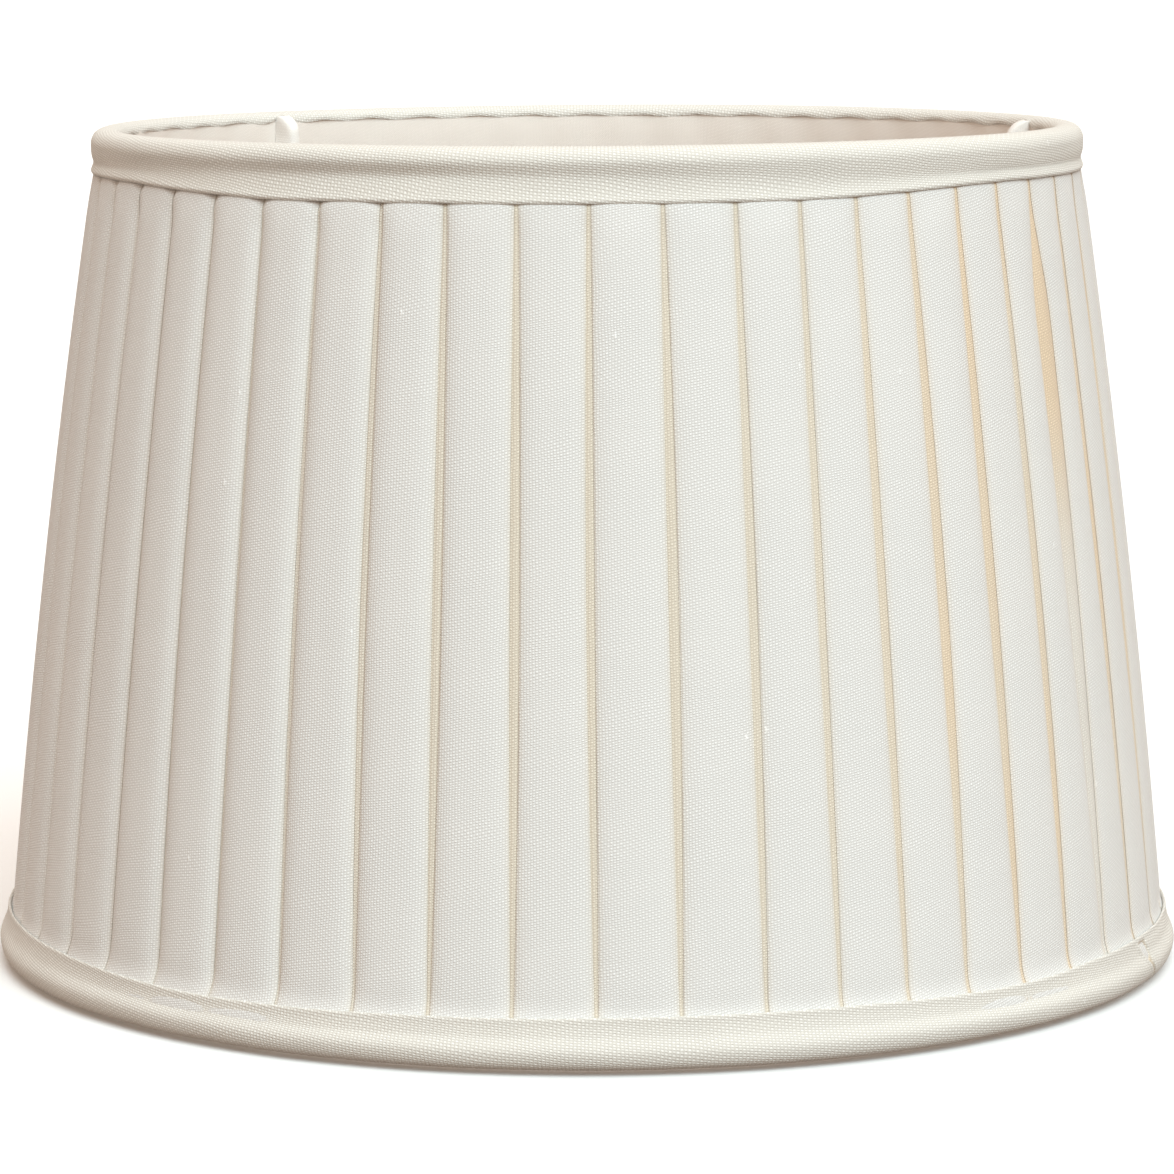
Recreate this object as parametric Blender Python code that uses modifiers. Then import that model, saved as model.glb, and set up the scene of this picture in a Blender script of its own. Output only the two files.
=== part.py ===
"""Box-pleated empire lamp shade: wire frame, spider fitter, pleated cover, lining and bindings.

Metres, +Z up. The shade stands on its bottom rim at z = 0 with its axis on Z, and its front is -Y.
Outlines are written in millimetres as (radius, height) and turned about the axis.
"""
import math

import bmesh
import bpy
from mathutils import Matrix, Vector

MM = 0.001

# Overall size, in millimetres
SHADE_HEIGHT = 210.0
FACETS = 72                 # facets round the cloth rings and the lining

# Wire frame
FRAME_FACETS = 48           # facets round each ring wire and its wrap
TOP_RING = (120.4, 206.9)   # radius and height of the ring wire's centre
BOTTOM_RING = (146.3, 3.2)
RING_WIRE = 1.5             # radius of the ring wire
STRUT_WIRE = 1.25           # radius of a strut
STRUT_COUNT = 6
STRUT_TOP = (119.0, 205.1)
STRUT_BOTTOM = (144.3, 5.1)
FRAME_TURN = math.radians(14.4)   # angle of the first spider arm and of the strut under it

# Cotton wrap on the ring wires, cut open where the struts and arms are welded on
WRAP_INSIDE = 1.75
WRAP_CLOTH = 0.35
WRAP_SIDES = 6
WELD_WIDTH = 5.0
TOP_WELD = ((116.0, 120.7), (203.0, 208.8))       # radii and heights between which a wrap is cut open
BOTTOM_WELD = ((142.0, 146.6), (1.3, 7.0))

# Spider and fitter
ARM_COUNT = 3
ARM_WIRE = 1.5
ARM_ROOT = 118.3            # radius at which an arm meets the top ring
ARM_DROP = 113.2            # radius of the arm's upright length
ARM_HEIGHT = 184.0          # height of the arm's level length
ARM_TOP_BEND = 4.0
ARM_LOW_BEND = 6.0
FITTER_HOLE = 21.0
FITTER_RIM = 27.5
FITTER_SHEET = 1.2          # thickness of the pressed steel
FITTER_TOP = 186.2
FITTER_LIP = 182.5          # height of the lower edge of the rim's turned-down lip

# Pleated cover: a cone with a slight barrel, 48 flat pleats and a narrow gap between each two
PLEAT_COUNT = 48
PLEAT_TURN = math.radians(0.4)    # turn of the first gap at the top
PLEAT_LEAN = math.radians(0.6)    # further turn of that gap at the bottom
COVER_TOP = (124.2, 197.0)        # just under the top binding
COVER_BOTTOM = (146.0, 18.0)      # just above the bottom binding
COVER_BARREL = 1.25
COVER_CLOTH = 0.45
GAP_WIDTH = 2.0
GAP_DEPTH = 0.9
GAP_PRESSED = 0.25                # share of the gap's depth that is left under a binding
COVER_HEAD = ((123.3, 205.5), (123.3, 198.2))     # pressed in under the top binding
COVER_BODY = (195.0, 128.0, 62.0, 13.8)           # heights of the rows between the bindings
COVER_FOOT = ((148.9, 7.5), (149.1, 3.8))         # pushed out over the bottom ring's wrap

# Lining: hangs inside the struts, parallel to them
LINING_CLOTH = 0.4
LINING_CLEARANCE = 0.35
LINING_TOP = (117.95, 207.8)
LINING_LOW = 2.2

# Bindings and neateners
BINDING_TAPE = 0.5
TOP_BINDING = (
    (116.8, 207.6),
    (117.4, 209.0),
    (118.8, 209.85),
    (120.5, SHADE_HEIGHT),
    (122.3, 209.7),
    (123.7, 208.3),
    (124.4, 206.0),
    (124.5, 203.0),
    (124.15, 199.5),
    (124.15, 197.7),
)
BOTTOM_BINDING = (
    (147.4, 13.3),
    (149.75, 7.5),
    (150.1, 4.5),
    (149.4, 1.6),
    (147.5, 0.0),
    (145.0, 0.0),
    (142.4, 0.9),
    (141.6, 2.6),
    (141.6, 5.0),
)
SLIT_WIDTH = 4.0
SLIT_RADII = (115.0, 119.5)      # an arm passes lining and binding between these radii
SLIT_BAND = (205.0, 208.9)       # and between these heights
TAB_WIDTH = 5.0
TAB_LENGTH = 15.0
TAB_CLOTH = 0.5
TAB_TOP = 204.8


def clear_scene():
    for item in list(bpy.data.objects):
        bpy.data.objects.remove(item, do_unlink=True)


def new_collection(name):
    made = bpy.data.collections.new(name)
    bpy.context.scene.collection.children.link(made)
    return made


def material(name, colour, roughness, metallic=0.0):
    made = bpy.data.materials.new(name)
    made.use_nodes = True
    shader = made.node_tree.nodes["Principled BSDF"]
    shader.inputs["Base Color"].default_value = (*colour, 1.0)
    shader.inputs["Roughness"].default_value = roughness
    shader.inputs["Metallic"].default_value = metallic
    return made


def finish(item, collection, look):
    """Put an object in its collection and give it its material."""
    for home in list(item.users_collection):
        home.objects.unlink(item)
    collection.objects.link(item)
    item.data.materials.clear()
    item.data.materials.append(look)
    return item


def mesh_object(name, mesh, collection, look):
    item = bpy.data.objects.new(name, mesh)
    bpy.context.scene.collection.objects.link(item)
    return finish(item, collection, look)


def shade_round(mesh):
    mesh.shade_smooth()
    mesh.set_sharp_from_angle(angle=math.radians(40))


def add_cloth(item, thickness):
    """Give an open surface its thickness, on the side its faces turn away from."""
    cloth = item.modifiers.new("cloth", "SOLIDIFY")
    cloth.thickness = thickness * MM
    cloth.offset = -1.0
    cloth.use_even_offset = True


def turned(name, outline, facets, collection, look, closed=False):
    """Turn an outline about Z. It runs down its outer side, so that its faces point out."""
    mesh = bpy.data.meshes.new(name)
    points = [(radius * MM, 0.0, height * MM) for radius, height in outline]
    edges = [(i, i + 1) for i in range(len(points) - 1)]
    if closed:
        edges.append((len(points) - 1, 0))
    mesh.from_pydata(points, edges, [])
    item = mesh_object(name, mesh, collection, look)
    turn = item.modifiers.new("turn", "SCREW")
    turn.axis = "Z"
    turn.steps = facets
    turn.render_steps = facets
    turn.use_merge_vertices = True
    turn.merge_threshold = 0.00001
    turn.use_smooth_shade = True
    return item


def wire(name, path, radius, collection, look):
    """A round wire through (radius, height) points in the plane of +X, with capped ends."""
    curve = bpy.data.curves.new(name, "CURVE")
    curve.dimensions = "3D"
    curve.bevel_depth = radius * MM
    curve.bevel_resolution = 2
    curve.use_fill_caps = True
    run = curve.splines.new("POLY")
    run.points.add(len(path) - 1)
    for point, (out, height) in zip(run.points, path):
        point.co = (out * MM, 0.0, height * MM, 1.0)
    run.use_smooth = True
    return mesh_object(name, curve, collection, look)


def arc(centre, radius, start, end, steps):
    """Points of a circular bend, from the start angle to the end angle in degrees."""
    points = []
    for i in range(steps + 1):
        turn = math.radians(start + (end - start) * i / steps)
        points.append((centre[0] + radius * math.cos(turn), centre[1] + radius * math.sin(turn)))
    return points


def ring(name, place, collection, look):
    bpy.ops.mesh.primitive_torus_add(
        major_segments=FRAME_FACETS,
        minor_segments=WRAP_SIDES,
        major_radius=place[0] * MM,
        minor_radius=RING_WIRE * MM,
        location=(0.0, 0.0, place[1] * MM),
        rotation=(0.0, 0.0, FRAME_TURN + math.pi / FRAME_FACETS),
    )
    item = bpy.context.object
    item.name = name
    shade_round(item.data)
    return finish(item, collection, look)


def ring_wrap(name, place, cutter, collection, look):
    """A cloth tube round a ring wire, on the wire's own facets, cut open at the welds."""
    outside = WRAP_INSIDE + WRAP_CLOTH
    hexagon = arc(place, outside, 360.0, 360.0 / WRAP_SIDES, WRAP_SIDES - 1)
    item = turned(name, hexagon, FRAME_FACETS, collection, look, closed=True)
    item.rotation_euler.z = FRAME_TURN + math.pi / FRAME_FACETS
    add_cloth(item, WRAP_CLOTH)
    add_cut(item, cutter)
    return item


def strut_radius(height):
    """Radius of the struts' centre line at a height."""
    fall = (STRUT_TOP[1] - height) / (STRUT_TOP[1] - STRUT_BOTTOM[1])
    return STRUT_TOP[0] + (STRUT_BOTTOM[0] - STRUT_TOP[0]) * fall


def lining_radius(height):
    """Outer radius of the lining where it hangs inside the struts."""
    return strut_radius(height) - STRUT_WIRE - LINING_CLEARANCE


def cover_radius(height):
    """Outer radius of the cover between its bindings."""
    fall = (COVER_TOP[1] - height) / (COVER_TOP[1] - COVER_BOTTOM[1])
    cone = COVER_TOP[0] + (COVER_BOTTOM[0] - COVER_TOP[0]) * fall
    return cone + COVER_BARREL * 4.0 * fall * (1.0 - fall)


def pleated_cover(collection, look):
    """Loft the pleats: at each height every gap has a bottom and two lips, joined by flat panels."""
    rows = [(radius, height, GAP_PRESSED) for radius, height in COVER_HEAD]
    rows += [(cover_radius(height), height, 1.0) for height in COVER_BODY]
    rows += [(radius, height, GAP_PRESSED) for radius, height in COVER_FOOT]
    build = bmesh.new()
    grid = []
    for radius, height, open_share in rows:
        fall = 1.0 - height / SHADE_HEIGHT
        lip = GAP_WIDTH / 2 / radius
        line = []
        for pleat in range(PLEAT_COUNT):
            gap = math.tau * pleat / PLEAT_COUNT + PLEAT_TURN + PLEAT_LEAN * fall
            for turn, depth in ((-lip, 0.0), (0.0, GAP_DEPTH * open_share), (lip, 0.0)):
                out = (radius - depth) * MM
                place = Vector((out * math.cos(gap + turn), out * math.sin(gap + turn), height * MM))
                line.append(build.verts.new(place))
        grid.append(line)
    around = len(grid[0])
    for upper, lower in zip(grid, grid[1:]):
        for i in range(around):
            j = (i + 1) % around
            build.faces.new((upper[i], lower[i], lower[j], upper[j]))
    mesh = bpy.data.meshes.new("pleated_cover")
    build.to_mesh(mesh)
    build.free()
    shade_round(mesh)
    item = mesh_object("pleated_cover", mesh, collection, look)
    add_cloth(item, COVER_CLOTH)
    return item


def arm_path():
    """Root at the ring, a bend down inside the lining, and a level run to the fitter's rim."""
    root = TOP_RING[1]
    upper = arc((ARM_DROP + ARM_TOP_BEND, root - ARM_TOP_BEND), ARM_TOP_BEND, 90.0, 180.0, 4)
    lower = arc((ARM_DROP - ARM_LOW_BEND, ARM_HEIGHT + ARM_LOW_BEND), ARM_LOW_BEND, 0.0, -90.0, 5)
    return [(ARM_ROOT, root), *upper, *lower, (FITTER_RIM + 0.3, ARM_HEIGHT)]


def neatener(name, collection, look):
    """A flat folded tab against the lining, under the arm's root."""
    lean = math.atan2(STRUT_BOTTOM[0] - STRUT_TOP[0], STRUT_TOP[1] - STRUT_BOTTOM[1])
    middle = TAB_TOP - TAB_LENGTH / 2 * math.cos(lean)
    out = lining_radius(middle) - LINING_CLOTH - LINING_CLEARANCE - TAB_CLOTH / 2
    build = bmesh.new()
    bmesh.ops.create_cube(build, size=1.0)
    size = Vector((TAB_CLOTH, TAB_WIDTH, TAB_LENGTH)) * MM
    bmesh.ops.scale(build, vec=size, verts=build.verts)
    mesh = bpy.data.meshes.new(name)
    build.to_mesh(mesh)
    build.free()
    item = mesh_object(name, mesh, collection, look)
    item.matrix_world = Matrix.Translation((out * MM, 0.0, middle * MM)) @ Matrix.Rotation(-lean, 4, "Y")
    soften = item.modifiers.new("soft_edges", "BEVEL")
    soften.width = 0.18 * MM
    soften.segments = 1
    return item


def cutter_blocks(name, count, across, radii, heights, collection, look):
    """Blocks set evenly round the axis, from the first arm on, to cut what passes between them."""
    build = bmesh.new()
    for number in range(count):
        block = bmesh.ops.create_cube(build, size=1.0)
        size = Matrix.Diagonal(((radii[1] - radii[0]) * MM, across * MM, (heights[1] - heights[0]) * MM, 1.0))
        place = Matrix.Translation((sum(radii) / 2 * MM, 0.0, sum(heights) / 2 * MM))
        turn = Matrix.Rotation(FRAME_TURN + math.tau * number / count, 4, "Z")
        bmesh.ops.transform(build, matrix=turn @ place @ size, verts=block["verts"])
    mesh = bpy.data.meshes.new(name)
    build.to_mesh(mesh)
    build.free()
    item = mesh_object(name, mesh, collection, look)
    item.display_type = "WIRE"
    item.hide_render = True
    return item


def add_cut(item, cutter):
    cut = item.modifiers.new(cutter.name, "BOOLEAN")
    cut.operation = "DIFFERENCE"
    cut.solver = "EXACT"
    cut.object = cutter


def main():
    clear_scene()
    parts = new_collection("lamp_shade")
    cutters = new_collection("cutters")
    coated_wire = {"colour": (0.86, 0.85, 0.82), "roughness": 0.35, "metallic": 0.0}
    cutter_look = material("cutter", (0.8, 0.2, 0.2), 0.5)
    arm_slits = cutter_blocks("arm_slits", ARM_COUNT, SLIT_WIDTH, SLIT_RADII, SLIT_BAND, cutters, cutter_look)
    top_welds = cutter_blocks("top_welds", STRUT_COUNT, WELD_WIDTH, *TOP_WELD, cutters, cutter_look)
    bottom_welds = cutter_blocks("bottom_welds", STRUT_COUNT, WELD_WIDTH, *BOTTOM_WELD, cutters, cutter_look)

    ring("top_ring", TOP_RING, parts, material("top_ring_wire", **coated_wire))
    ring("bottom_ring", BOTTOM_RING, parts, material("bottom_ring_wire", **coated_wire))
    for number in range(STRUT_COUNT):
        name = f"strut_{number + 1}"
        strut = wire(name, [STRUT_TOP, STRUT_BOTTOM], STRUT_WIRE, parts, material(name, **coated_wire))
        strut.rotation_euler.z = FRAME_TURN + math.tau * number / STRUT_COUNT
    for number in range(ARM_COUNT):
        turn = Matrix.Rotation(FRAME_TURN + math.tau * number / ARM_COUNT, 4, "Z")
        name = f"spider_arm_{number + 1}"
        arm = wire(name, arm_path(), ARM_WIRE, parts, material(name, **coated_wire))
        arm.matrix_world = turn
        name = f"arm_neatener_{number + 1}"
        tab = neatener(name, parts, material(name, (0.90, 0.87, 0.82), 0.9))
        tab.matrix_world = turn @ tab.matrix_world

    inner_lip = FITTER_RIM - FITTER_SHEET
    fitter_outline = [
        (FITTER_HOLE, FITTER_TOP),
        (FITTER_RIM, FITTER_TOP),
        (FITTER_RIM, FITTER_LIP),
        (inner_lip, FITTER_LIP),
        (inner_lip, FITTER_TOP - FITTER_SHEET),
        (FITTER_HOLE, FITTER_TOP - FITTER_SHEET),
    ]
    turned("fitter_ring", fitter_outline, FRAME_FACETS, parts,
           material("fitter_steel", (0.86, 0.85, 0.82), 0.35), closed=True)

    for name, place, welds in (("top_ring_wrap", TOP_RING, top_welds),
                               ("bottom_ring_wrap", BOTTOM_RING, bottom_welds)):
        ring_wrap(name, place, welds, parts, material(name, (0.88, 0.84, 0.76), 0.95))

    lining_outline = [
        LINING_TOP,
        (lining_radius(SLIT_BAND[0]), SLIT_BAND[0]),
        (lining_radius(LINING_LOW), LINING_LOW),
    ]
    lining = turned("lining", lining_outline, FACETS, parts, material("lining_cotton", (0.90, 0.85, 0.79), 0.9))
    add_cloth(lining, LINING_CLOTH)
    add_cut(lining, arm_slits)

    pleated_cover(parts, material("cover_linen", (0.86, 0.83, 0.78), 0.95))

    top = turned("top_binding", TOP_BINDING, FACETS, parts, material("top_tape", (0.88, 0.86, 0.82), 0.9))
    add_cloth(top, BINDING_TAPE)
    add_cut(top, arm_slits)

    bottom = turned("bottom_binding", BOTTOM_BINDING, FACETS, parts,
                    material("bottom_tape", (0.88, 0.86, 0.82), 0.9))
    add_cloth(bottom, BINDING_TAPE)


main()
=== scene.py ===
# %% [markdown]
# # A lamp shade with a box-pleated linen cover
# The shade is a wire frame in a dress: a pleated cover outside, a plain lining inside, and a
# folded tape that hides the raw edges of both at each rim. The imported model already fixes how
# big the shade is and where each part sits, so this lesson starts by loading it and keeps it as
# the skeleton. Everything below is the cloth, the wire and the light that make it look real.

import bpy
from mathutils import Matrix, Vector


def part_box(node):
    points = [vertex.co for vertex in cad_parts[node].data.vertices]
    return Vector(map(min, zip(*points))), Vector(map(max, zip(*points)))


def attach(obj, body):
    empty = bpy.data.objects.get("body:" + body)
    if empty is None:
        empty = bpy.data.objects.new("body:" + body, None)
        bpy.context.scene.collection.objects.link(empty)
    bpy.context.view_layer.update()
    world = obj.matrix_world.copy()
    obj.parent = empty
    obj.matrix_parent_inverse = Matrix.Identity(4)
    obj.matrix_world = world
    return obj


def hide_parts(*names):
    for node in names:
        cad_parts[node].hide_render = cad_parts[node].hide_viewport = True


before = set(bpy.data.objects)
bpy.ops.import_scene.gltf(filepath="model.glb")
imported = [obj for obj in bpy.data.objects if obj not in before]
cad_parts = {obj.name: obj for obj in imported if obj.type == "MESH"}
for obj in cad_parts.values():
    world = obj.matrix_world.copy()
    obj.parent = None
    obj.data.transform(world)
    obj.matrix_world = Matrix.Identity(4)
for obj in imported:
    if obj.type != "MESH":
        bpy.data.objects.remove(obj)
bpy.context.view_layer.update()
print("solid parts loaded:", len(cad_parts))

# %% [markdown]
# ## The camera
# A lamp shade is usually shown from a little above its middle and from far away, so that its two
# rims stay calm ellipses. A long lens does that: it flattens the perspective without cutting it
# off. The camera comes first because every later choice is judged through it.

# %% Place the camera
import math
import random

import bpy
from mathutils import Vector, noise

LENS = 150.1
CAMERA_PLACE = (0.0, -1.2377, 0.2633)
CAMERA_DIP = 7.878

camera_data = bpy.data.cameras.new("studio_camera")
camera_data.lens = LENS
camera_data.sensor_width = 36.0
camera = bpy.data.objects.new("studio_camera", camera_data)
camera.location = CAMERA_PLACE
camera.rotation_euler = (math.radians(90.0 - CAMERA_DIP), 0.0, 0.0)
bpy.context.scene.collection.objects.link(camera)
bpy.context.scene.camera = camera
print("camera looks down by", CAMERA_DIP, "degrees")

# %% [markdown]
# ## The light
# White cloth needs shade to show its folds, yet it must stay white. Three very soft lights do
# this: a cool lamp from the right and above that draws the pleats, one straight overhead that
# brightens the rims and the floor, and a warm sky that fills the shaded side. The sky grows
# dimmer below the horizon, so that the undersides stay a little darker. The lamps are suns with a
# wide angle, not panels, because a sun's light doesn't fall off across the floor.

# %% Hang the lamps
STUDIO_SKY = (1.0, 0.80, 0.66)
SKY_STRENGTH, SKY_BELOW = 0.765, 0.3
SKY_FADE = (-0.5, 0.1)


def soft_lamp(name, towards_lamp, strength, spread, colour):
    """A sun lamp whose light comes from a direction, blurred by its spread in degrees."""
    lamp_data = bpy.data.lights.new(name, "SUN")
    lamp_data.energy = strength
    lamp_data.angle = math.radians(spread)
    lamp_data.color = colour
    lamp = bpy.data.objects.new(name, lamp_data)
    lamp.rotation_euler = Vector(towards_lamp).to_track_quat("Z", "Y").to_euler()
    bpy.context.scene.collection.objects.link(lamp)
    return lamp


soft_lamp(
    "key_right", towards_lamp=(0.28, -0.69, 0.70), strength=2.82, spread=50.0, colour=(0.73, 0.93, 1.0)
)
soft_lamp(
    "top_light", towards_lamp=(0.05, -0.05, 1.0), strength=0.60, spread=60.0, colour=(0.92, 0.96, 1.0)
)
sky = bpy.data.worlds.new("studio_sky")
sky.use_nodes = True
sky_nodes, sky_links = sky.node_tree.nodes, sky.node_tree.links
sky_nodes["Background"].inputs["Color"].default_value = (*STUDIO_SKY, 1.0)
look = sky_nodes.new("ShaderNodeTexCoord")
upward = sky_nodes.new("ShaderNodeSeparateXYZ")
fade = sky_nodes.new("ShaderNodeMapRange")
fade.inputs["From Min"].default_value, fade.inputs["From Max"].default_value = SKY_FADE
fade.inputs["To Min"].default_value = SKY_STRENGTH * SKY_BELOW
fade.inputs["To Max"].default_value = SKY_STRENGTH
sky_links.new(look.outputs["Generated"], upward.inputs["Vector"])
sky_links.new(upward.outputs["Z"], fade.inputs["Value"])
sky_links.new(fade.outputs["Result"], sky_nodes["Background"].inputs["Strength"])
bpy.context.scene.world = sky
bpy.context.scene.view_settings.view_transform = "Standard"
print("sky strength", SKY_STRENGTH)

# %% [markdown]
# ## Hands for building
# Most pieces here are grids of points wrapped round the shade: rows go up, columns go round. One
# helper turns such a grid into a mesh and gives it a second set of coordinates, measured in
# millimetres along the threads of the cloth. A weave drawn in those coordinates follows every
# fold, as real threads do. Angles are counted from the front, positive to the right.

# %% Make a grid into a piece
MM = 0.001
TURN = 2.0 * math.pi


def place(radius, angle, height):
    """A point in metres from a radius and height in mm and an angle in radians from the front."""
    return (radius * MM * math.sin(angle), -radius * MM * math.cos(angle), height * MM)


def grid_piece(name, rows, cloth, around=True, extras=None):
    """rows[i][j] are points; cloth[i][j] their thread coordinates, one more column if around."""
    tall, wide = len(rows), len(rows[0])
    spans = wide if around else wide - 1
    faces, threads = [], []
    for i in range(tall - 1):
        for j in range(spans):
            k = (j + 1) % wide
            faces.append((i * wide + j, i * wide + k, (i + 1) * wide + k, (i + 1) * wide + j))
            corners = (cloth[i][j], cloth[i][j + 1], cloth[i + 1][j + 1], cloth[i + 1][j])
            for across, along in corners:
                threads += (across, along)
    mesh = bpy.data.meshes.new(name)
    mesh.from_pydata([point for row in rows for point in row], [], faces)
    mesh.uv_layers.new(name="cloth_mm").data.foreach_set("uv", threads)
    for label, values in (extras or {}).items():
        mesh.attributes.new(label, "FLOAT", "POINT").data.foreach_set("value", values)
    mesh.polygons.foreach_set("use_smooth", [True] * len(faces))
    piece = bpy.data.objects.new(name, mesh)
    bpy.context.scene.collection.objects.link(piece)
    print(name, "has", len(faces), "faces")
    return piece


# %% [markdown]
# A few small curves of numbers are used again and again: a soft step, a soft hill, and a gentle
# random drift that repeats when it has gone once round the shade. The drift comes from Blender's
# own noise at a fixed place, so each run gives the same hand-made unevenness.

# %% Soft steps, hills and drifts
def soft_step(value, low, high):
    """0 below low, 1 above high, and a smooth slope between."""
    share = min(max((value - low) / (high - low), 0.0), 1.0)
    return share * share * (3.0 - 2.0 * share)


def hill(value, centre, spread):
    """1 at centre, falling smoothly away over spread."""
    return math.exp(-(((value - centre) / spread) ** 2))


def drift(angle, height, waves, seed):
    """A smooth random number from about -1 to 1 that closes on itself round the shade."""
    reach = waves / TURN
    spot = (reach * math.sin(angle), reach * math.cos(angle), height + 17.3 * seed)
    return 1.8 * noise.noise(spot)


print("drift at the front:", round(drift(0.0, 0.0, 12, 1), 3))

# %% [markdown]
# ## The plain facts of the cover
# The cover is one long strip of linen folded into forty-eight box pleats. Each pleat uses the
# same width of cloth, about forty-two millimetres, though the shade is wider at the foot: what
# the front of a pleat gains on the way down, the hidden folds behind it give up. So the cloth is
# never stretched, and the numbers here are the same as those of the solid model. The frame also
# sits a little askew and the sewn edge wanders, which two small functions give in millimetres.

# %% Measures of the cover
PLEATS = 48
CLOTH_PER_PLEAT = 42.0
BAND_LINE, FOOT_LINE = 197.0, 18.0
COVER_HEAD, COVER_FOOT = 205.5, 3.8
PRESSED_RADIUS, FLARED_RADIUS = 122.9, 148.95
HEAD_RADIUS, SPREAD, BELLY = 124.2, 21.8, 1.25


def cover_radius(height):
    """The outer radius of the cover: a cone with a slight belly that flares at the foot."""
    fall = (BAND_LINE - height) / (BAND_LINE - FOOT_LINE)
    cone = HEAD_RADIUS + SPREAD * fall + BELLY * 4.0 * fall * (1.0 - fall)
    foot = soft_step(height, 15.5, 6.0)
    return cone * (1.0 - foot) + FLARED_RADIUS * foot


def pleat_share(height):
    """0 at the top tape, 1 at the bottom tape."""
    return min(max((BAND_LINE - height) / (BAND_LINE - FOOT_LINE), 0.0), 1.0)


def rim_lift(angle, height):
    """A hand-made rim isn't level: this one stands a little higher on the right, in mm."""
    return (0.1 + 0.65 * math.sin(angle)) * soft_step(height, 120.0, 205.0)


def band_lift(angle):
    """How far the folded edge of the top tape wanders up on the flanks and down in front."""
    degrees = math.degrees(angle)
    wander = 1.9 * soft_step(abs(degrees + 5.0), 25.0, 60.0) - 0.6
    return wander * soft_step(abs(degrees), 145.0, 105.0)


print("cover radius at mid height:", round(cover_radius(105.0), 2), "mm")

# %% [markdown]
# ## Where the gaps between pleats fall
# A pleater works by hand, so the gaps aren't exactly even. They lean a fraction of a degree on
# the way down, they crowd a little on the right, and one of them has sprung open. The left flank
# is pressed so tightly that its gaps nearly close, and the right one is looser. Numbers drawn from
# a seeded generator give each gap its own small error, the same on each run.

# %% Lay out the gaps
SPRUNG_GAP, SPRUNG_WIDTH = 8, 6.6
GAP_AT_TAPE = 0.9
hand = random.Random(48)
gap_habits = [
    {
        "shift": hand.uniform(-0.16, 0.16),
        "bow": hand.uniform(-0.22, 0.22),
        "lean": hand.uniform(-0.14, 0.14),
        "open": hand.uniform(0.75, 1.25),
        "puff": hand.uniform(0.7, 1.3),
    }
    for _ in range(PLEATS)
]


def gap_angle(number, height):
    """The angle in radians of the middle of one gap at a height."""
    even = 360.0 / PLEATS * number
    habit = gap_habits[number % PLEATS]
    share = pleat_share(height)
    crowding = 1.1 * hill(even, 17.0, 13.0) - 1.6 * hill(even, 70.0, 30.0) - 0.45
    swing = habit["shift"] + habit["bow"] * math.sin(math.pi * share) + habit["lean"] * share
    return math.radians(even + 0.4 + 0.6 * share + crowding + swing)


def right_side(degrees):
    """1 on the right flank of the shade, 0 elsewhere: this flank was pleated more loosely."""
    return soft_step(degrees, 18.0, 48.0) * soft_step(degrees, 115.0, 85.0)


def left_side(degrees):
    """1 on the left flank, where the pleats nearly touch and their edges are rounder."""
    return soft_step(degrees, -10.0, -45.0) * soft_step(degrees, -150.0, -115.0)


def gap_width(number, height):
    """How far a gap stands open, in mm: least under the tapes and most at mid height."""
    share = pleat_share(height)
    opening = math.sin(math.pi * share) ** 0.8
    degrees = 360.0 / PLEATS * number
    looseness = 1.2 + 0.9 * right_side(degrees) - 1.05 * left_side(degrees)
    width = GAP_AT_TAPE - 0.6 * left_side(degrees)
    width += looseness * opening * gap_habits[number % PLEATS]["open"]
    if number == SPRUNG_GAP:
        width += SPRUNG_WIDTH * soft_step(share, 0.0, 0.18) * (1.0 - 0.9 * share)
    return width


print("sprung gap at mid height:", round(gap_width(SPRUNG_GAP, 105.0), 1), "mm")

# %% [markdown]
# ## One box pleat in section
# Looked at from above, the thread runs along the front of a pleat, turns back under it, turns
# again, crosses behind the gap to the next pleat, and comes forward the same way. That path can
# be written down once, point by point, as a distance along the rim and a depth behind it. It is
# made of real folded cloth here, rather than ribs on a drum, so the gaps have true depth.

# %% Fold one pleat
EDGE_STEPS = (0.0, 0.55, 1.5, 3.5)
# painted shade: how much warm fold shade is painted at each step in from a pleat's edge
EDGE_SHADES = (0.55, 0.22, 0.05, 0.0)
FRONT_SHARES = (0.25, 0.5, 0.75)
BACKING_BULGE = 0.4


def half_fold(centre, depth, side, radius, turns):
    """Points round a fold of a small radius that turns the cloth back on itself."""
    return [
        (
            centre + side * radius * math.sin(math.pi * turn),
            depth + radius * (1.0 - math.cos(math.pi * turn)),
        )
        for turn in turns
    ]


def pleat_path(front, gap, under, roll, fold):
    """(distance, depth, painted shade) from the left edge of one front to just before the next."""
    path = []
    curls = [roll * (1.0 - step / EDGE_STEPS[-1]) ** 2 for step in EDGE_STEPS]
    edge_marks = list(zip(EDGE_STEPS, curls, EDGE_SHADES))
    inner = front - 2.0 * EDGE_STEPS[-1]
    path += edge_marks
    path += [(EDGE_STEPS[-1] + inner * share, 0.0, 0.0) for share in FRONT_SHARES]
    path += [(front - step, curl, fold_shade) for step, curl, fold_shade in edge_marks[::-1]]
    path += [(s, d, 0.3) for s, d in half_fold(front, roll, 1, fold, (0.25, 0.5, 0.75))]
    second, third = roll + 2.0 * fold, roll + 4.0 * fold
    path.append((front, second, 1.0))
    path.append((front - under, second, 1.0))
    path += [(s, d, 1.0) for s, d in half_fold(front - under, second, -1, fold, (0.33, 0.67))]
    path.append((front - under, third, 1.0))
    for share in (0.0, 0.25, 0.5, 0.75, 1.0):
        bulge = BACKING_BULGE * gap * share * (1.0 - share)
        path.append((front + gap * share, third - bulge, 1.0))
    far = front + gap + under
    path.append((far, third, 1.0))
    back = half_fold(far, second, 1, fold, (0.67, 0.33))
    path += [(s, d, 1.0) for s, d in back]
    path.append((far, second, 1.0))
    path.append((front + gap, second, 1.0))
    path += [(s, d, 0.3) for s, d in half_fold(front + gap, roll, -1, fold, (0.75, 0.5, 0.25))]
    return path


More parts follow.
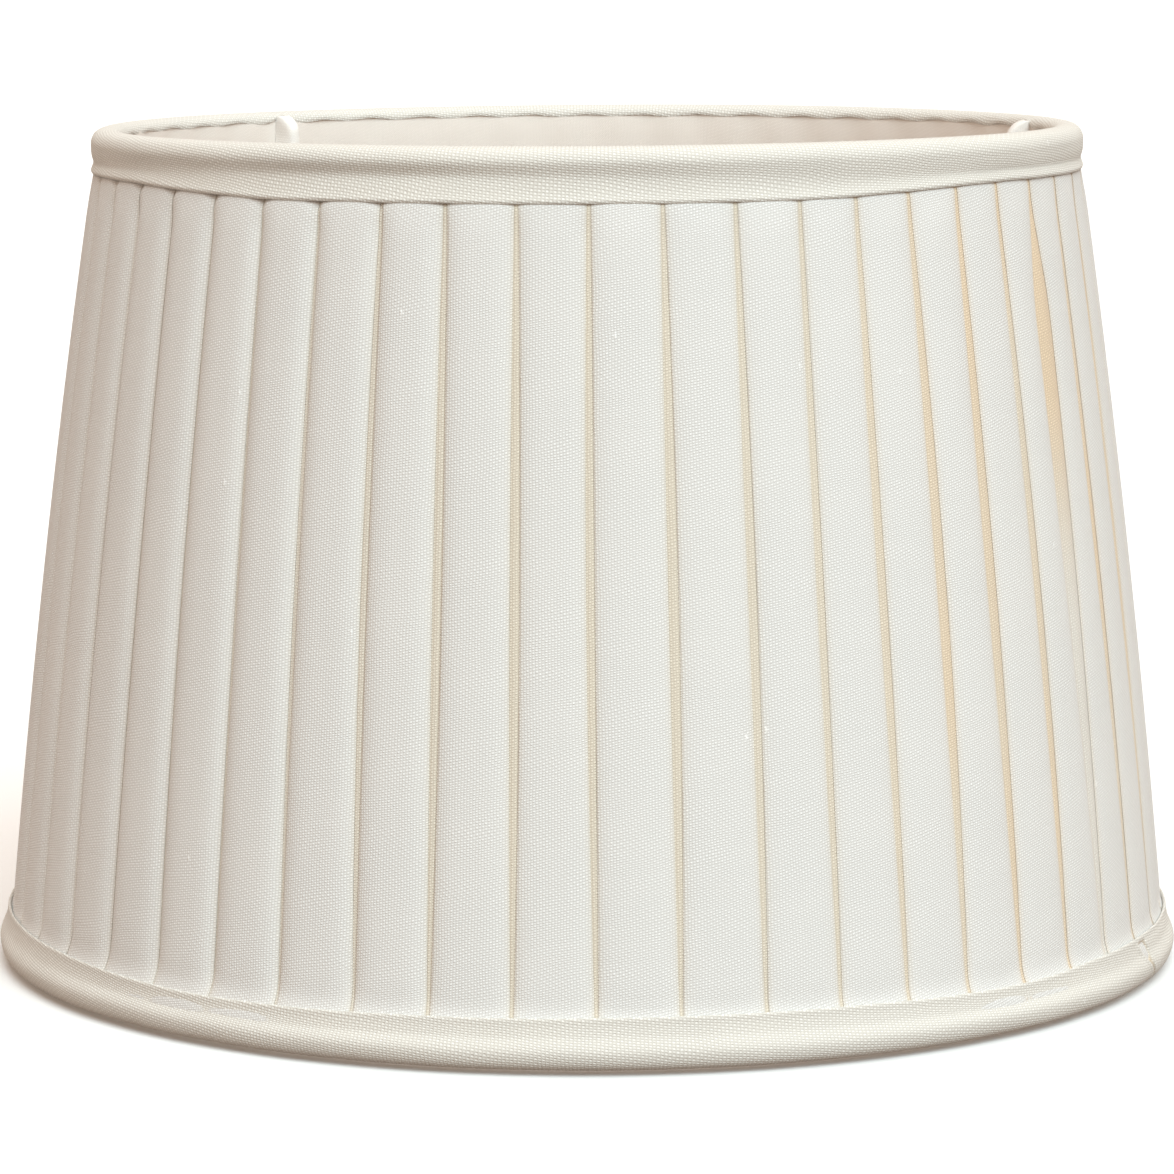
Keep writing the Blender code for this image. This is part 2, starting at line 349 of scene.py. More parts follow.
print("points in one pleat:", len(pleat_path(14.0, 2.0, 6.0, 0.5, 0.3)))

# %% [markdown]
# ## The pleated cover
# The section is now repeated forty-eight times at each of fifty-six heights. Close under the
# tape the fronts are pulled in and pressed flat, so each one gets a rounded shoulder, which
# arches more on the tight left flank. Lower down they puff out a little, because air and starch
# hold them off the frame. Each point also remembers how far it is tucked away, which the finish
# uses to paint warm shade into the folds, and how much painted light reaches it on the right.

# %% Sew the cover
SHOULDER = (197.6, 200.4)
THREAD_LOOP = 0.04


def cover_heights():
    """Close rows at the shoulders and the foot, wider ones on the long plain slopes."""
    low = [COVER_FOOT, 8.0, 11.0, 13.5, 15.5, 17.5, 20.5]
    body = [24.5 + 4.45 * step for step in range(36)]
    head = [183.5, 186.5, 189.0, 191.0, 192.8, 194.5, 196.1]
    head += [197.2, 198.1, 199.0, 200.2, 201.6, COVER_HEAD]
    return low + body + head


def pleat_points(number, height):
    """(angle, radius, across, painted fold shade, painted light) for each point of one pleat at a
    height.
    """
    radius = cover_radius(height)
    left, right = gap_angle(number, height), gap_angle(number + 1, height)
    gap_here, gap_next = gap_width(number, height), gap_width(number + 1, height)
    if number == PLEATS // 2 - 1:
        right = gap_angle(-PLEATS // 2, height) + TURN
        gap_next = gap_width(-PLEATS // 2, height)
    start = left + 0.5 * gap_here / radius
    front = (right - 0.5 * gap_next / radius - start) * radius
    free = soft_step(height, 200.0, 189.0) * soft_step(height, 9.0, 19.0)
    leftness = left_side(math.degrees(start))
    softness = 0.70 - 0.38 * soft_step(math.degrees(start), -40.0, 30.0) + 0.35 * leftness
    roll, fold = THREAD_LOOP + softness * free, THREAD_LOOP
    start += fold / radius
    front -= 2.0 * fold
    gap_next += 2.0 * fold
    under = (CLOTH_PER_PLEAT - front - gap_next - 4.0 * math.pi * fold) / 4.0
    puff = 0.42 * free * gap_habits[number % PLEATS]["puff"]
    middle = 0.5 * front
    low_down = soft_step(pleat_share(height), 0.25, 0.6)
    points, walked, before = [], 0.0, None
    for along, depth, fold_shade in pleat_path(front, gap_next, under, roll, fold):
        if before:
            walked += math.hypot(along - before[0], depth - before[1])
        before = (along, depth)
        off = min(abs(along - middle) / middle, 1.0) if fold_shade < 1.0 else 1.0
        angle = start + along / radius
        dip = (0.8 + 2.0 * leftness) * off ** 3
        sunk = soft_step(height - band_lift(angle) + dip, SHOULDER[0] - 0.3 * leftness, SHOULDER[1])
        shoulder = (cover_radius(198.0) - PRESSED_RADIUS) * sunk
        out = puff * (1.0 - off * off) - shoulder - depth
        # painted light: a peach tint where the strong light comes through the folds on the right flank
        painted_light = right_side(math.degrees(angle)) * (0.65 + 0.35 * drift(angle, 0.02 * height, 60, 31))
        # in the sprung gap: full painted light at the top, fading lower down, with less painted fold
        # shade there
        if number + 1 == SPRUNG_GAP and fold_shade == 1.0:
            fold_shade, painted_light = 1.0 - 0.55 * low_down, 1.0 - low_down
        # less painted fold shade on the tight left flank
        fold_shade *= 1.0 - 0.3 * leftness
        points.append((angle, radius + out, number * CLOTH_PER_PLEAT + walked - middle, fold_shade, painted_light))
    return points


def sew_cover():
    rows, cloth, fold_shades, painted_lights = [], [], [], []
    slope, before = 0.0, None
    numbers = range(-PLEATS // 2, PLEATS // 2)
    for height in cover_heights():
        radius = cover_radius(height)
        if before:
            slope += math.hypot(radius - before[0], height - before[1])
        before = (radius, height)
        row, threads = [], []
        for number in numbers:
            for angle, out, across, fold_shade, painted_light in pleat_points(number, height):
                row.append(place(out, angle, height + rim_lift(angle, height)))
                threads.append((across, slope))
                fold_shades.append(fold_shade)
                painted_lights.append(painted_light)
        threads.append((threads[0][0] + PLEATS * CLOTH_PER_PLEAT, slope))
        rows.append(row)
        cloth.append(threads)
    piece = grid_piece("linen_cover", rows, cloth, extras={"fold_shade": fold_shades, "painted_light": painted_lights})
    print("cloth used:", PLEATS * CLOTH_PER_PLEAT, "x", round(slope, 1), "mm")
    return piece


linen_cover = sew_cover()

# %% [markdown]
# ## A tape turned round the rim
# Each rim is bound with a strip of linen tape folded over the wire. Its section is a line from
# the inside edge, over the wire, down the outside, and back up under itself for a small hem. That
# line is rounded between its guide points and then carried round the shade. While it travels it
# may be nudged, so the tape can sag, hollow and wander as a sewn one does. The nudge also says
# how much shade is painted into a crease.

# %% Round a section and carry it round
def rounded(guides, per_span):
    """A smooth line through guide points, with per_span steps between each two."""
    line = []
    last = len(guides) - 1
    for i in range(last):
        a, b, c, d = (Vector(guides[min(max(i + k, 0), last)]) for k in (-1, 0, 1, 2))
        for step in range(per_span):
            t = step / per_span
            pull = (2 * b + (c - a) * t + (2 * a - 5 * b + 4 * c - d) * t * t)
            line.append(0.5 * (pull + (3 * b - a - 3 * c + d) * t ** 3))
    line.append(Vector(guides[last]))
    return line


def turns_round(columns, spots=(), reach=0.0, finer=1):
    """Angles once round from the back, closer together within reach of the given spots."""
    turns = [TURN * column / columns - math.pi for column in range(columns)]
    step = TURN / columns
    for spot in spots:
        near = [turn for turn in turns if abs(math.remainder(turn - spot, TURN)) < reach]
        turns += [turn + step * k / finer for turn in near for k in range(1, finer)]
    return sorted(turns) + [math.pi]


def carried_round(name, line, turns, nudge, reference):
    """Sweeps a section round; nudge(angle, share) gives a shift (out, up) and how much shade is
    painted there.
    """
    rows, cloth, fold_shades, walked = [], [], [], 0.0
    reached = [0.0]
    for here, there in zip(line, line[1:]):
        walked += (there - here).length
        reached.append(walked)
    for point, along in zip(line, reached):
        row, threads = [], []
        for angle in turns:
            out, up, fold_shade = nudge(angle, along / walked)
            row.append(place(point[0] + out, angle, point[1] + up))
            threads.append((angle * reference, along))
            fold_shades.append(fold_shade)
        rows.append(row[:-1])
        fold_shades.pop()
        cloth.append(threads)
    return grid_piece(name, rows, cloth, extras={"fold_shade": fold_shades}), walked


# %% [markdown]
# ## The top tape
# From the inside the top tape climbs over the ring, bulges over the wire, falls slack into a
# shallow hollow and ends in a crisp folded edge that lies on the pleats. On the inside its edge
# is caught down stitch by stitch, which leaves a row of small scallops, and it rides over each
# of the three arms that come in from the ring.

# %% Bind the top rim
tab_middles = [sum(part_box(f"arm_neatener_{n}"), Vector()) / 2 for n in (1, 2, 3)]
ARM_ANGLES = [math.atan2(middle.x, -middle.y) for middle in tab_middles]
print("arms at", [round(math.degrees(a), 1) for a in ARM_ANGLES], "degrees from the front")
SCALLOPS = 48
top_section = rounded(
    [
        (117.0, 207.0),
        (116.9, 207.9),
        (117.6, 209.1),
        (118.9, 209.8),
        (120.5, 210.0),
        (122.2, 209.7),
        (123.5, 208.8),
        (124.25, 207.4),
        (124.4, 206.1),
        (124.1, 204.6),
        (123.8, 203.2),
        (123.75, 201.8),
        (123.95, 200.4),
        (124.3, 199.2),
        (124.6, 198.4),
        (124.55, 197.95),
        (124.35, 197.6),
        (124.15, 197.7),
        (124.05, 198.4),
        (123.9, 199.6),
    ],
    3,
)


def nudge_top_tape(angle, share):
    """Slack in the hollow, a wandering lower edge, and scallops along the inner edge."""
    hollow = hill(share, 0.64, 0.09)
    degrees = math.degrees(angle)
    slack = 0.60 - 1.1 * hill(degrees, -25.0, 38.0) - 0.3 * hill(degrees, 40.0, 25.0)
    out = hollow * (slack + 0.10 * drift(angle, 0.0, 18, 3))
    out += 0.10 * drift(angle, share * 2.0, 40, 5)
    edge = soft_step(share, 0.66, 0.84)
    up = edge * (0.12 * drift(angle, 0.0, 14, 4) + 0.08 * drift(angle, 0.0, 60, 6))
    up += edge * band_lift(angle) + rim_lift(angle, 205.0)
    crown = hill(share, 0.3, 0.2)
    up += 0.16 * drift(angle, 0.0, 7, 8) * crown - 0.16 * crown
    caught = soft_step(share, 0.12, 0.0)
    over_arm = max(hill(math.remainder(angle - arm, TURN), 0.0, 0.022) for arm in ARM_ANGLES)
    up += caught * (0.30 * math.cos(SCALLOPS * angle) + 0.15 * drift(angle, 0.0, 50, 7))
    up += 1.3 * over_arm * caught
    return out, up, 0.0


top_turns = turns_round(480, ARM_ANGLES, 0.07, 3)
top_tape, top_tape_width = carried_round("top_tape", top_section, top_turns, nudge_top_tape, 124.0)
print("top tape is", round(top_tape_width, 1), "mm wide when opened out")

# %% [markdown]
# ## The bottom tape
# The bottom tape is the same strip, carried the other way up: its crisp edge is at the top and
# the wire fills its foot. The two ends of the tape meet at the right, where one is folded under
# and laid over the other. The fold is a low step across the band with a forked crease beside it,
# made by moving the section in and out over a few degrees, with shade painted into the crease.

# %% Bind the bottom rim
TAPE_END = math.radians(68.4)
bottom_section = rounded(
    [
        (147.2, 12.2),
        (147.2, 12.9),
        (147.4, 13.35),
        (147.7, 13.5),
        (147.95, 13.1),
        (148.05, 12.0),
        (148.25, 10.8),
        (148.75, 9.1),
        (149.45, 7.4),
        (149.95, 5.9),
        (150.0, 4.6),
        (149.7, 3.2),
        (149.1, 2.15),
        (148.2, 1.45),
        (146.8, 0.95),
        (145.3, 0.9),
        (143.9, 1.3),
        (142.8, 1.9),
        (142.1, 2.5),
        (141.7, 3.1),
        (141.6, 3.8),
        (141.7, 5.0),
    ],
    3,
)


def nudge_bottom_tape(angle, share):
    """A slack line under the folded edge, a wandering edge, and the tape's folded end."""
    hollow = hill(share, 0.27, 0.06)
    out = -hollow * (0.14 + 0.12 * drift(angle, 0.0, 16, 11))
    out += 0.10 * drift(angle, share * 2.0, 44, 12)
    edge = soft_step(share, 0.42, 0.14)
    degrees = math.degrees(angle)
    up = edge * (0.12 * drift(angle, 0.0, 15, 13) + 0.07 * drift(angle, 0.0, 64, 14))
    up -= edge * (1.5 * hill(degrees, -38.0, 22.0) + 1.2 * hill(degrees, 43.0, 14.0))
    down = min(max((share - 0.16) / 0.40, 0.0), 1.0)
    away = angle - TAPE_END - 0.045 * (down - 0.5)
    reach = 0.0015 + 0.014 * (1.0 - soft_step(down, 0.0, 0.75))
    dent = soft_step(abs(away), reach + 0.006, max(reach - 0.004, 0.0))
    ridges = hill(abs(away), reach + 0.008, 0.006)
    full = soft_step(away, 0.0, 0.05) * soft_step(away, 0.30, 0.12)
    facing = soft_step(share, 0.10, 0.18) * soft_step(share, 0.72, 0.58)
    out += facing * (0.25 * full + 0.30 * ridges - 0.85 * dent)
    most = 0.12 if share > 0.42 else 1.0  # the widest part has little room to grow
    # the third value paints shade into the dent of the crease
    return min(out, most), up, 0.9 * facing * dent


bottom_turns = turns_round(560, [TAPE_END], 0.09, 6)
bottom_tape, bottom_tape_width = carried_round(
    "bottom_tape", bottom_section, bottom_turns, nudge_bottom_tape, 149.0
)
print("bottom tape is", round(bottom_tape_width, 1), "mm wide when opened out")

# %% [markdown]
# ## The lining
# Inside hangs a plain cotton lining, cut on the bias and pulled tight inside the six struts. Its
# top edge is eased in with small puckers, one for each stitch group, which die out a thumb's
# width down. It is a simple cone of points with those puckers and a few tension lines added. The
# slits for the arms lie under the tape and the neateners, where they wouldn't show, and aren't cut.

# %% Hang the lining
LINING_HEAD, LINING_FOOT = 207.6, 2.4
LINING_COLUMNS = 384
STRUT_GAP = 1.85
LINING_SEAM = math.radians(159.7)


def lining_radius(height):
    """Just inside the struts, which lean out towards the foot."""
    strut = 119.0 + 25.3 * (205.1 - height) / 200.0
    return strut - STRUT_GAP + 0.45 * soft_step(height, 203.0, 207.6)


def lining_shift(angle, height):
    """Puckers at the head and the foot, seams, and faint pulls in between, in mm."""
    head = soft_step(height, 180.0, 207.0)
    foot = soft_step(height, 16.0, 4.0)
    pucker = 0.24 * math.cos(SCALLOPS * angle + 0.6 * drift(angle, 0.0, 9, 21))
    pull = 0.16 * drift(angle, 0.011 * height, 70, 22) + 0.10 * drift(angle, 0.03 * height, 22, 23)
    seams = hill(math.remainder(angle - LINING_SEAM, math.pi), 0.0, 0.006)
    return pucker * (head ** 2 + 0.6 * foot) + pull * (1.0 - 0.5 * head) - 0.25 * seams


LINING_ROWS = 64
lining_rows, lining_threads = [], []
lining_drop = LINING_HEAD - LINING_FOOT
lining_heights = [LINING_FOOT + lining_drop * (i / LINING_ROWS) for i in range(LINING_ROWS + 1)]
for height in lining_heights:
    row, threads = [], []
    for column in range(LINING_COLUMNS + 1):
        angle = TURN * column / LINING_COLUMNS - math.pi
        radius = lining_radius(height) + lining_shift(angle, height)
        if column < LINING_COLUMNS:
            row.append(place(radius, angle, height + rim_lift(angle, height)))
        threads.append((angle * 131.0, height))
    lining_rows.append(row)
    lining_threads.append(threads)
cotton_lining = grid_piece("cotton_lining", lining_rows, lining_threads)

# %% [markdown]
# ## The three arms
# Three wires run in from the top ring, drop, and carry a small flat ring for the lampholder.
# Each arm is a round wire bent at two places. A tube of points is carried along a line that is
# rounded at the bends, with its frame kept square to the line, so it doesn't pinch. A bead of
# weld swells the wire where it joins a ring.

# %% Bend a wire
def wire_piece(name, line, radius_at, sides=14):
    """A tube along a line of points in mm; radius_at(share) gives its radius."""
    rows, cloth, walked = [], [], 0.0
    lengths = [(b - a).length for a, b in zip(line, line[1:])]
    total = sum(lengths)
    for i, point in enumerate(line):
        ahead = (line[min(i + 1, len(line) - 1)] - line[max(i - 1, 0)]).normalized()
        side = Vector((-point.y, point.x, 0.0)).normalized()
        lift = ahead.cross(side).normalized()
        radius = radius_at(walked / total)
        row, threads = [], []
        for step in range(sides + 1):
            turn = TURN * step / sides
            spot = point + radius * (math.cos(turn) * side + math.sin(turn) * lift)
            if step < sides:
                row.append(tuple(spot * MM))
            threads.append((turn * radius, walked))
        rows.append(row)
        cloth.append(threads)
        if i < len(lengths):
            walked += lengths[i]
    return grid_piece(name, rows, cloth)


def soft_corners(corners, bends, steps=7):
    """Replaces each inner corner of a bent line with an arc-like curve of the given reach."""
    line = [Vector(corners[0])]
    for before, corner, after, reach in zip(corners, corners[1:], corners[2:], bends):
        before, corner, after = Vector(before), Vector(corner), Vector(after)
        start = corner + (before - corner).normalized() * reach
        end = corner + (after - corner).normalized() * reach
        for step in range(steps + 1):
            t = step / steps
            line.append(start * (1 - t) ** 2 + corner * 2 * t * (1 - t) + end * t * t)
    line.append(Vector(corners[-1]))
    return line


# %% Fit the arms
ARM_WIRE = 1.5
ARM_ROOT, ARM_DROP, ARM_LEVEL, ARM_END = (118.9, 206.9), 113.2, 184.0, 27.4


def arm_bead(share):
    """A round wire with a bead of weld at each end."""
    return ARM_WIRE + 0.45 * hill(share, 0.0, 0.012) + 0.5 * hill(share, 1.0, 0.016)


arms = []
for number, angle in enumerate(ARM_ANGLES, start=1):
    out = Vector((math.sin(angle), -math.cos(angle), 0.0))
    up = Vector((0.0, 0.0, 1.0))
    corners = [
        out * ARM_ROOT[0] + up * ARM_ROOT[1],
        out * ARM_DROP + up * ARM_ROOT[1],
        out * ARM_DROP + up * ARM_LEVEL,
        out * ARM_END + up * ARM_LEVEL,
    ]
    arms.append(wire_piece(f"bent_arm_{number}", soft_corners(corners, (4.0, 6.0)), arm_bead))

# %% [markdown]
# ## The fitter ring
# The lampholder's barrel passes through this pressed steel ring and its nut clamps down on it.
# Pressing rolls the outer edge down into a lip and rounds every corner. Its section is a short
# closed line, rounded at the corners, turned once round the middle.

# %% Press the fitter ring
fitter_low, fitter_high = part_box("fitter_ring")
fitter_top, fitter_lip = fitter_high.z / MM, fitter_low.z / MM
fitter_rim = fitter_high.x / MM
FITTER_HOLE, FITTER_SHEET = 21.0, 1.2
inner_wall = fitter_rim - FITTER_SHEET
fitter_section = [
    (FITTER_HOLE, fitter_top - 0.35),
    (FITTER_HOLE + 0.1, fitter_top - 0.1),
    (FITTER_HOLE + 0.35, fitter_top),
    (fitter_rim - 1.2, fitter_top),
    (fitter_rim - 0.6, fitter_top - 0.15),
    (fitter_rim - 0.15, fitter_top - 0.6),
    (fitter_rim, fitter_top - 1.2),
    (fitter_rim, fitter_lip + 0.3),
    (fitter_rim - 0.15, fitter_lip + 0.08),
    (fitter_rim - 0.4, fitter_lip),
    (inner_wall + 0.3, fitter_lip),
    (inner_wall + 0.08, fitter_lip + 0.1),
    (inner_wall, fitter_lip + 0.35),
    (inner_wall, fitter_top - FITTER_SHEET - 0.5),
    (inner_wall - 0.15, fitter_top - FITTER_SHEET - 0.15),
    (inner_wall - 0.5, fitter_top - FITTER_SHEET),
    (FITTER_HOLE + 0.35, fitter_top - FITTER_SHEET),
    (FITTER_HOLE + 0.1, fitter_top - FITTER_SHEET + 0.1),
    (FITTER_HOLE, fitter_top - FITTER_SHEET + 0.35),
    (FITTER_HOLE, fitter_top - 0.35),
]
fitter_line = [Vector(point) for point in fitter_section]
pressed_ring, _ = carried_round(
    "pressed_ring", fitter_line, turns_round(128), lambda angle, share: (0.0, 0.0, 0.0), 25.0
)

# %% [markdown]
# ## The neateners
# Where an arm passes the lining, the cut edge would fray, so a strip of cotton is folded round
# the wire like a short sleeve. It shows as a small pale tab on the inside of the rim. It is made
# as a narrow grid: one line of points down its face follows the bend of the wire, and at each
# point the strip is bent into a U whose two edges are tucked behind the face of the lining.

# %% Fold the neateners
TAB_HALF, CLEAR = 2.15, 0.35
TAB_FRONT = ARM_DROP - ARM_WIRE - CLEAR
TAB_STEPS = 16
tab_face = rounded(
    [
        (117.8, 208.6),
        (116.2, 208.75),
        (114.3, 208.1),
        (112.85, 207.0),
        (111.95, 205.6),
        (111.5, 204.0),
        (TAB_FRONT, 202.0),
        (TAB_FRONT, 196.0),
        (TAB_FRONT, 191.5),
        (TAB_FRONT + 0.1, 190.4),
    ],
    3,
)


def tab_piece(name, angle):
    """A strip bent round one arm, from under the tape down the lining."""
    rows, cloth, down = [], [], 0.0
    for i, (face, height) in enumerate(tab_face):
        back = max(lining_radius(min(height, LINING_HEAD)) + 0.2, face + 0.25)
        level = height + rim_lift(angle, height)
        down += (tab_face[i] - tab_face[max(i - 1, 0)]).length
        row, threads, across, before = [], [], 0.0, None
        for j in range(TAB_STEPS + 1):
            turn = math.pi * j / TAB_STEPS
            side = -math.copysign(abs(math.cos(turn)) ** 0.5, math.cos(turn)) * TAB_HALF
            side *= 1.0 + 0.05 * math.sin(0.9 * height + angle)
            deep = (back - face) * math.sin(turn) ** 0.5
            deep += 0.06 * math.sin(1.7 * height + 3.0 * turn)
            spot = Vector((side, deep))
            across += (spot - before).length if before else 0.0
            before = spot
            row.append(place(back - deep, angle + side / back, level))
            threads.append((across, down))
        rows.append(row)
        cloth.append(threads)
    return grid_piece(name, rows, cloth, around=False)


tabs = [tab_piece(f"folded_tab_{n}", angle) for n, angle in enumerate(ARM_ANGLES, start=1)]
tab_area = sum(face.area for face in tabs[0].data.polygons)
print("one tab takes", round(tab_area * 1e6), "square mm of cotton")

# %% [markdown]
# ## How a finish is written down
# A finish in Blender is a small network of nodes that works out a colour, a roughness and a fine
# relief for every spot. Three helpers keep the recipes short: one starts a finish, one adds a
# node and feeds it, and one does sums. Values that are the same all over go straight onto the
# shader, because only those survive when the model is carried to another program.

# %% Helpers for finishes
def new_finish(name, roughness, sheen=0.0, specular=0.3):
    """A new material and its shader."""
    finish = bpy.data.materials.new(name)
    finish.use_nodes = True
    shader = finish.node_tree.nodes["Principled BSDF"]
    shader.inputs["Roughness"].default_value = roughness
    shader.inputs["Specular IOR Level"].default_value = specular
    shader.inputs["Sheen Weight"].default_value = sheen
    shader.inputs["Sheen Roughness"].default_value = 0.5
    return finish, shader


def node(finish, kind, settings=None, **feeds):
    """Adds a node, sets its options, and feeds its inputs with numbers, colours or outputs."""
    made = finish.node_tree.nodes.new(kind)
    for option, value in (settings or {}).items():
        setattr(made, option, value)
    for socket_name, value in feeds.items():
        socket = made.inputs[socket_name.replace("_", " ")]
        if isinstance(value, bpy.types.NodeSocket):
            finish.node_tree.links.new(value, socket)
        else:
            socket.default_value = value
    return made


def sums(finish, operation, first, second=0.0, third=0.0, clamp=False):
    """One step of arithmetic between outputs and numbers."""
    made = finish.node_tree.nodes.new("ShaderNodeMath")
    made.operation = operation
    made.use_clamp = clamp
    for socket, value in zip(made.inputs, (first, second, third)):
        if isinstance(value, bpy.types.NodeSocket):
            finish.node_tree.links.new(value, socket)
        else:
            socket.default_value = value
    return made.outputs[0]


def blend(finish, share, low, high, way="MIX"):
    """A colour between two others, or with way MULTIPLY the first one tinted by the second."""
    made = finish.node_tree.nodes.new("ShaderNodeMix")
    made.data_type = "RGBA"
    made.blend_type = way
    for socket, value in ((made.inputs[0], share), (made.inputs[6], low), (made.inputs[7], high)):
        if isinstance(value, bpy.types.NodeSocket):
            finish.node_tree.links.new(value, socket)
        else:
            socket.default_value = (*value, 1.0) if socket.name != "Factor" else value
    return made.outputs[2]


def patches(finish, coordinates, size, detail=2.0, stretch=(1.0, 1.0, 1.0)):
    """Cloudy noise from 0 to 1 whose patches are about size across."""
    shrink = node(
        finish, "ShaderNodeVectorMath", {"operation": "MULTIPLY"}, Vector=coordinates
    )
    shrink.inputs[1].default_value = [1.0 / (size * s) for s in stretch]
    clouds = node(finish, "ShaderNodeTexNoise", Vector=shrink.outputs[0], Scale=1.0, Detail=detail)
    return clouds.outputs["Fac"]


# %% [markdown]
# ## The weave
# All the cloth here is plain weave: each thread goes over one and under the next. Two cosine
# waves across and along the thread coordinates give the rows of threads, and their product tells
# which thread lies on top. Real linen is uneven, so clouds shift the threads sideways, and long
# thin clouds make single threads thicker or thinner. The result is a height from 0 to 1, which
# drives the relief and the colour: painted shade between the threads and small painted
# highlights where a thread comes to the top.

# %% Weave threads
def woven(finish, warp, weft, slant, wander=0.5, uneven=0.5):
    """The relief of a plain weave with the given thread spacings in mm, and its coordinates."""
    cloth = node(finish, "ShaderNodeUVMap", {"uv_map": "cloth_mm"}).outputs["UV"]
    split = node(finish, "ShaderNodeSeparateXYZ", Vector=cloth)
    across, along = split.outputs["X"], split.outputs["Y"]
    sway = sums(finish, "SUBTRACT", patches(finish, cloth, 9.0, 1.0), 0.5)
    dip = sums(finish, "SUBTRACT", patches(finish, cloth, 14.0, 1.0, (1.6, 0.7, 1.0)), 0.5)
    across = sums(finish, "MULTIPLY_ADD", sway, wander * 1.5, across)
    leaning = sums(finish, "MULTIPLY_ADD", across, -slant, along)
    along = sums(finish, "MULTIPLY_ADD", dip, wander * 4.0, leaning)
    warp_wave = sums(finish, "COSINE", sums(finish, "MULTIPLY", across, math.pi / warp))
    weft_wave = sums(finish, "COSINE", sums(finish, "MULTIPLY", along, math.pi / weft))
    crossing = sums(finish, "MULTIPLY", warp_wave, weft_wave)
    every = sums(finish, "MULTIPLY", sums(finish, "ABSOLUTE", crossing), 0.55)
    on_top = sums(finish, "MULTIPLY", sums(finish, "MAXIMUM", crossing, 0.0), 0.45)
    relief = sums(finish, "ADD", every, on_top)
    thick_warp = patches(finish, cloth, 1.0, 0.0, (warp, 11.0, 1.0))
    thick_weft = patches(finish, cloth, 1.0, 0.0, (9.0, weft, 1.0))
    thickness = sums(finish, "ADD", thick_warp, thick_weft)
    thickness = sums(finish, "MULTIPLY_ADD", thickness, uneven, 1.0 - uneven)
    return sums(finish, "MULTIPLY", relief, thickness, clamp=True), cloth


def slubs(finish, cloth, spacing, size):
    """Sparse small knots in the thread: 1 at a knot, 0 elsewhere."""
    squash = node(finish, "ShaderNodeVectorMath", {"operation": "MULTIPLY"}, Vector=cloth)
    squash.inputs[1].default_value = (1.0 / spacing, 0.45 / spacing, 1.0)
    cells = node(
        finish,
        "ShaderNodeTexVoronoi",
        {"feature": "F1", "voronoi_dimensions": "2D"},
        Vector=squash.outputs[0],
        Scale=1.0,
        Randomness=1.0,
    )
    near = sums(finish, "DIVIDE", cells.outputs["Distance"], size / spacing)
    knot = sums(finish, "SUBTRACT", 1.0, near, clamp=True)
    pick = node(finish, "ShaderNodeSeparateColor", Color=cells.outputs["Color"]).outputs[0]
    rare = sums(finish, "GREATER_THAN", pick, 0.55)
    return sums(finish, "MULTIPLY", knot, rare)


# %% [markdown]
# ## The linen of the cover
# Undyed linen bleached almost white and chalky. The hint of grey between the threads is painted
# shade and the brighter spots on them are painted highlights. Light that has bounced about inside
# a fold comes back warmer, and cloth this thin lets some through, so the tucked parts get painted
# warm shade towards cream, and painted light towards peach where the strong light reaches them.
# The tint uses what each point remembers about its place in the fold.

# %% Finish the cover
def relief_on(finish, shader, height, depth_mm, strength=1.0):
    """Feeds a relief of a real depth into a shader."""
    bump = node(finish, "ShaderNodeBump", Height=height, Strength=strength)
    bump.inputs["Distance"].default_value = depth_mm * MM
    finish.node_tree.links.new(bump.outputs["Normal"], shader.inputs["Normal"])


def cloth_finish(name, threads, colours, blotch, depth, roughness=0.9, sheen=0.12):
    """A woven finish: colours are the painted shade between threads, the thread with its painted
    highlights, and a warm blotch.
    """
    finish, shader = new_finish(name, roughness, sheen)
    relief, cloth = woven(finish, *threads)
    knots = slubs(finish, cloth, 30.0, 0.45)
    bright = sums(finish, "ADD", relief, knots, clamp=True)
    # painted shade between the threads and painted highlights where they come to the top
    colour = blend(finish, bright, colours[0], colours[1])
    cloud = sums(finish, "MULTIPLY", patches(finish, cloth, blotch, 3.0), 0.5)
    colour = blend(finish, cloud, colour, colours[2])
    height = sums(finish, "MULTIPLY_ADD", knots, 1.2, relief)
    relief_on(finish, shader, height, depth)
    rough = sums(finish, "MULTIPLY_ADD", relief, -0.12, roughness)
    finish.node_tree.links.new(rough, shader.inputs["Roughness"])
    return finish, shader, colour


def paint_fold_shade(finish, shader, colour, tint):
    """Paints warm shade into a cloth where it is tucked away, and connects the result."""
    fold_shading = node(finish, "ShaderNodeAttribute", {"attribute_name": "fold_shade"}).outputs["Fac"]
    shown = blend(finish, fold_shading, colour, tint, "MULTIPLY")
    finish.node_tree.links.new(shown, shader.inputs["Base Color"])


LINEN = ((0.60, 0.585, 0.565), (0.90, 0.895, 0.88), (0.78, 0.755, 0.725))
linen, linen_shader, linen_colour = cloth_finish(
    "cover_linen", (0.70, 0.62, 0.22), LINEN, 30.0, 0.10
)
# mask of painted light through the folds
painted_light_mask = node(linen, "ShaderNodeAttribute", {"attribute_name": "painted_light"}).outputs["Fac"]
# painted colours: cream shade in the folds, and peach for light through them on the right, also used
# as shade in the tape's crease
FOLD_SHADE_CREAM, PEACH_LIGHT_AND_SHADE = (0.94, 0.86, 0.735), (1.0, 0.81, 0.60)
paint_fold_shade(linen, linen_shader, linen_colour, blend(linen, painted_light_mask, FOLD_SHADE_CREAM, PEACH_LIGHT_AND_SHADE))
print("cover finish has", len(linen.node_tree.nodes), "nodes")
